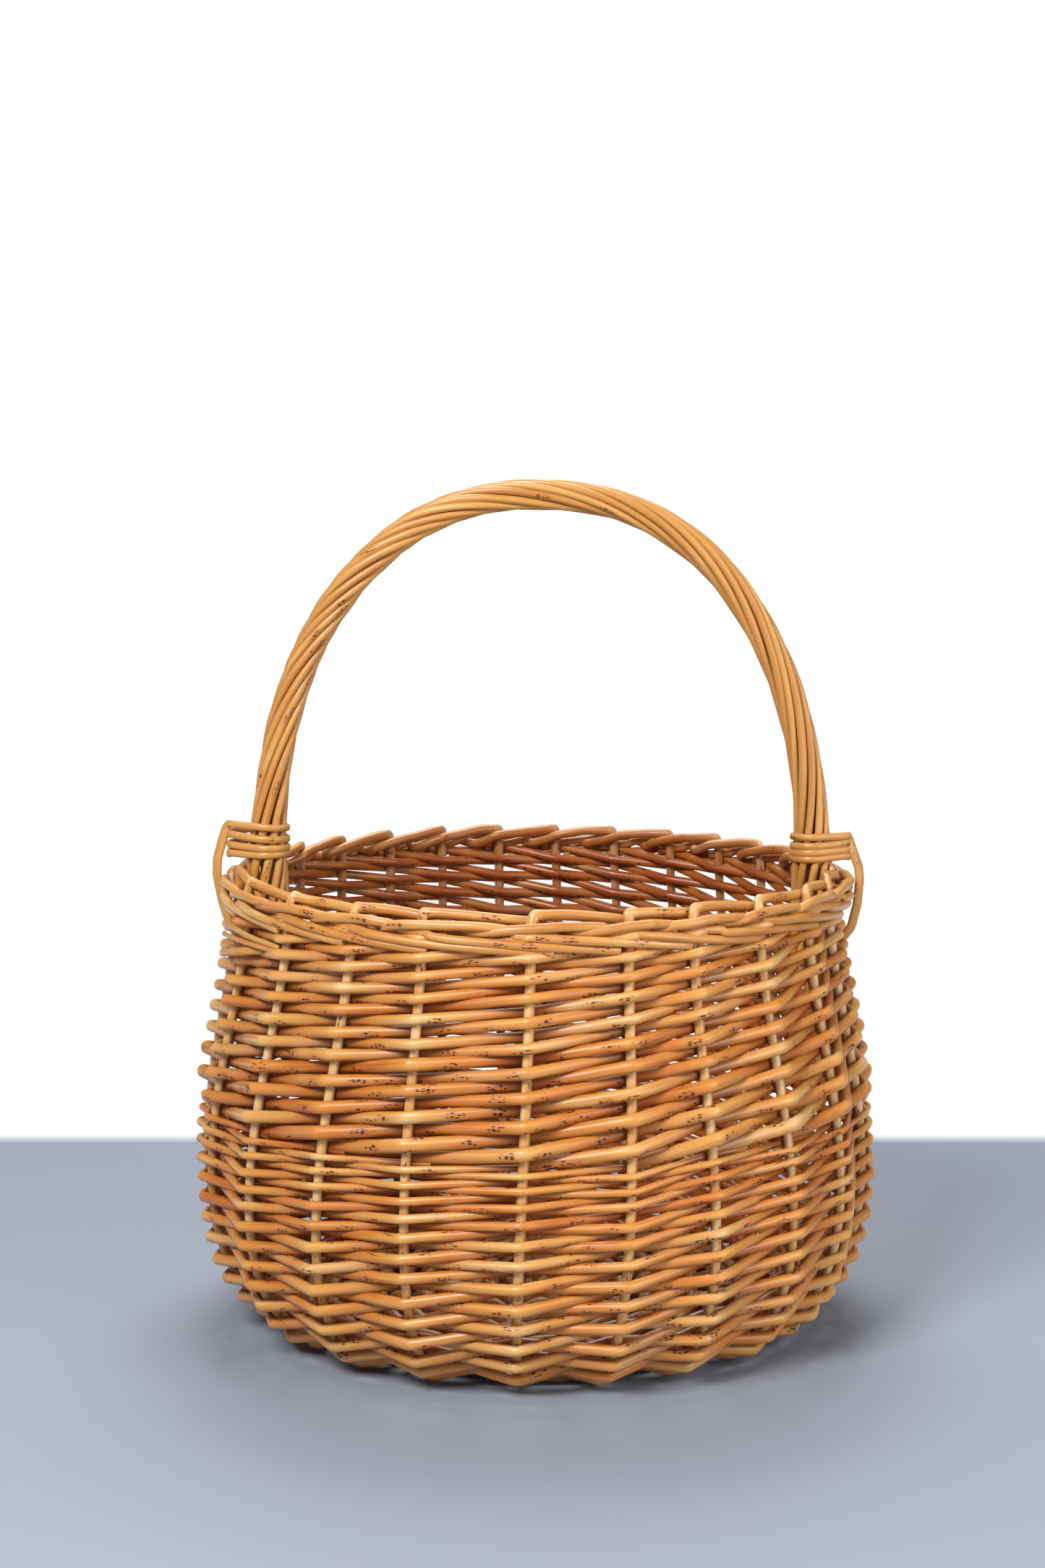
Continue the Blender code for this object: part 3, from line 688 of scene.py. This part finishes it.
def wrapLoop(reach):
    # the outline of two circles side by side, the handle's and a small nose outside it: arcs joined by tangents
    inner, nose = lashing["innerRadius"], lashing["noseRadius"]
    tangent = math.acos((inner - nose) / reach)
    big = np.linspace(tangent, 2 * np.pi - tangent, 40)
    first, last = np.linspace(0, tangent, 12), np.linspace(-tangent, 0, 12)
    outline = np.vstack([np.column_stack([reach + nose * np.cos(first), nose * np.sin(first), 0 * first]),
                         np.column_stack([inner * np.cos(big), inner * np.sin(big), 0 * big]),
                         np.column_stack([reach + nose * np.cos(last), nose * np.sin(last), 0 * last])])
    distance = lengths(outline)
    return readLine(outline, distance, np.linspace(0, distance[-1], 60, endpoint=False))[:, :2]


def makeLashings():
    for name in ("left", "right"):
        chosen = lashing[name]
        sign, radius = chosen["sign"], lashing["radius"]
        chance = np.random.default_rng(lashing["seed"] + sign)
        loop = wrapLoop(chosen["noseReach"])
        turns = len(chosen["heights"])
        wound = np.vstack([np.tile(loop, (turns, 1)), loop[:1]])
        at = np.linspace(0, turns, len(wound))
        # the front half of each turn lies at its stated height
        height = np.interp(at, np.arange(turns) + 0.75, chosen["heights"])
        height = height + lashing["rockUp"] * np.sin(7 * at + 2 * sign)
        place = np.column_stack([handle["aside"] + sign * (handle["halfSpan"] + wound[:, 0]), wound[:, 1],
                                 wall["rimHeight"] + height])
        facing = unit(np.column_stack([sign * wound[:, 0], wound[:, 1] * 1.6, 0 * at]) + 1e-6)
        wraps = rodLine(place, facing, radius * (1 + lashing["uneven"] * np.sin(5 * at)), flat=lashing["wrapFlat"])
        out, up = np.array(chosen["strap"]).T
        down = np.column_stack([handle["aside"] + sign * (handle["halfSpan"] + out), np.linspace(0, -0.001, len(out)),
                                wall["rimHeight"] + up])
        strap = rodLine(down, np.tile([sign * 0.5, -0.86, 0.1], (len(out), 1)), lashing["strapRadius"],
                        flat=lashing["strapFlat"])
        line = rounded(np.vstack([wraps, strap]), lashing["bend"])
        look = {"tone": 0.5, "hue": 0.25, "start": chance.uniform(0, 5)}
        addRod(f"lashing_{name}_rod", ringed(line, lashing["ringStep"]), look, finishes["handle"],
               "lashing_willow", f"lashing_{name}")
        for number, (thin, *corners) in enumerate(chosen["tails"]):
            degrees, down, out = curveThrough(corners).T
            height = wall["rimHeight"] - down
            angle = np.radians(degrees)
            line = rodLine(around(np.interp(height, wallLine[:, 1], wallLine[:, 0]) + out, angle, height),
                           around(1.0, angle, 0.2), thin, flat=lashing["tailFlat"])
            look = {"tone": 0.55 - 0.05 * number, "hue": 0.3, "start": chance.uniform(0, 5)}
            addRod(f"lashing_{name}_tail_{number + 1}", ringed(line, lashing["tailStep"]), look, finishes["handle"],
                   "lashing_willow", f"lashing_{name}")
    print("lashings wound")


makeLashings()


# stage and light: a table whose far edge is a line behind the basket, and which fades to white all round further off
stage = {"floor": "#8F96A4", "floorRoughness": 0.6, "floorReach": 4.0, "farEdge": {1: 0.395, 2: 0.42},
         "allRound": {1: 1.2, 2: 1.9}, "worldLight": {3: 0.22, 4: 1.0}, "aimHeight": 0.14}


def makeFloor():
    mesh = bpy.data.meshes.new("studioFloor")
    far = stage["floorReach"]
    mesh.from_pydata([(-far, -far, 0), (far, -far, 0), (far, far, 0), (-far, far, 0)], [], [(0, 1, 2, 3)])
    floor = bpy.data.objects.new("studioFloor", mesh)
    bpy.context.scene.collection.objects.link(floor)
    material = bpy.data.materials.new("paleMattFloor")
    material.use_nodes = True
    tree = material.node_tree
    tree.nodes.clear()
    place = addNode(tree, "ShaderNodeTexCoord")
    reach = addNode(tree, "ShaderNodeVectorMath", {0: (place, "Object")}, operation="LENGTH")
    back = addNode(tree, "ShaderNodeSeparateXYZ", {0: (place, "Object")})
    behind = addNode(tree, "ShaderNodeMapRange", {0: (back, 1), **stage["farEdge"]})
    allRound = addNode(tree, "ShaderNodeMapRange", {0: (reach, "Value"), **stage["allRound"]})
    edge = addNode(tree, "ShaderNodeMath", {0: (behind, 0), 1: (allRound, 0)}, operation="MAXIMUM")
    paint = addNode(tree, "ShaderNodeBsdfPrincipled", {"Base Color": toLinear(stage["floor"]),
                                                       "Roughness": stage["floorRoughness"]})
    white = addNode(tree, "ShaderNodeEmission", {"Color": (1, 1, 1, 1), "Strength": 1.0})
    mix = addNode(tree, "ShaderNodeMixShader", {0: (edge, 0), 1: (paint, 0), 2: (white, 0)})
    addNode(tree, "ShaderNodeOutputMaterial", {0: (mix, 0)})
    mesh.materials.append(material)


def makeWorld():
    # white where the camera sees it, and a faint light on the basket
    world = bpy.data.worlds.new("studio")
    bpy.context.scene.world = world
    world.use_nodes = True
    tree = world.node_tree
    tree.nodes.clear()
    rays = addNode(tree, "ShaderNodeLightPath")
    seen = addNode(tree, "ShaderNodeMath", {0: (rays, "Is Camera Ray"), 1: (rays, "Is Transmission Ray")},
                   operation="MAXIMUM")
    strength = addNode(tree, "ShaderNodeMapRange", {0: (seen, 0), **stage["worldLight"]})
    sky = addNode(tree, "ShaderNodeBackground", {"Color": (1, 1, 1, 1), "Strength": (strength, 0)})
    addNode(tree, "ShaderNodeOutputWorld", {0: (sky, 0)})


# soft boxes: place, size and watts
lamps = {"key": ((-0.75, -1.45, 1.45), 0.7, 44), "fill": ((1.5, -1.2, 0.8), 1.2, 21),
         "top": ((0.0, 0.9, 1.8), 1.1, 28)}


def addLamp(name, place, size, watts):
    lamp = bpy.data.lights.new(name, "AREA")
    lamp.size = size
    lamp.energy = watts
    made = bpy.data.objects.new(name, lamp)
    made.location = place
    x, y, z = -place[0], -place[1], stage["aimHeight"] - place[2]
    made.rotation_euler = (math.atan2(math.hypot(x, y), -z), 0, math.atan2(y, x) - math.pi / 2)
    bpy.context.scene.collection.objects.link(made)


makeFloor()
makeWorld()
for lampName, (lampPlace, lampSize, lampWatts) in lamps.items():
    addLamp(lampName, lampPlace, lampSize, lampWatts)
bpy.context.scene.view_settings.view_transform = "Standard"
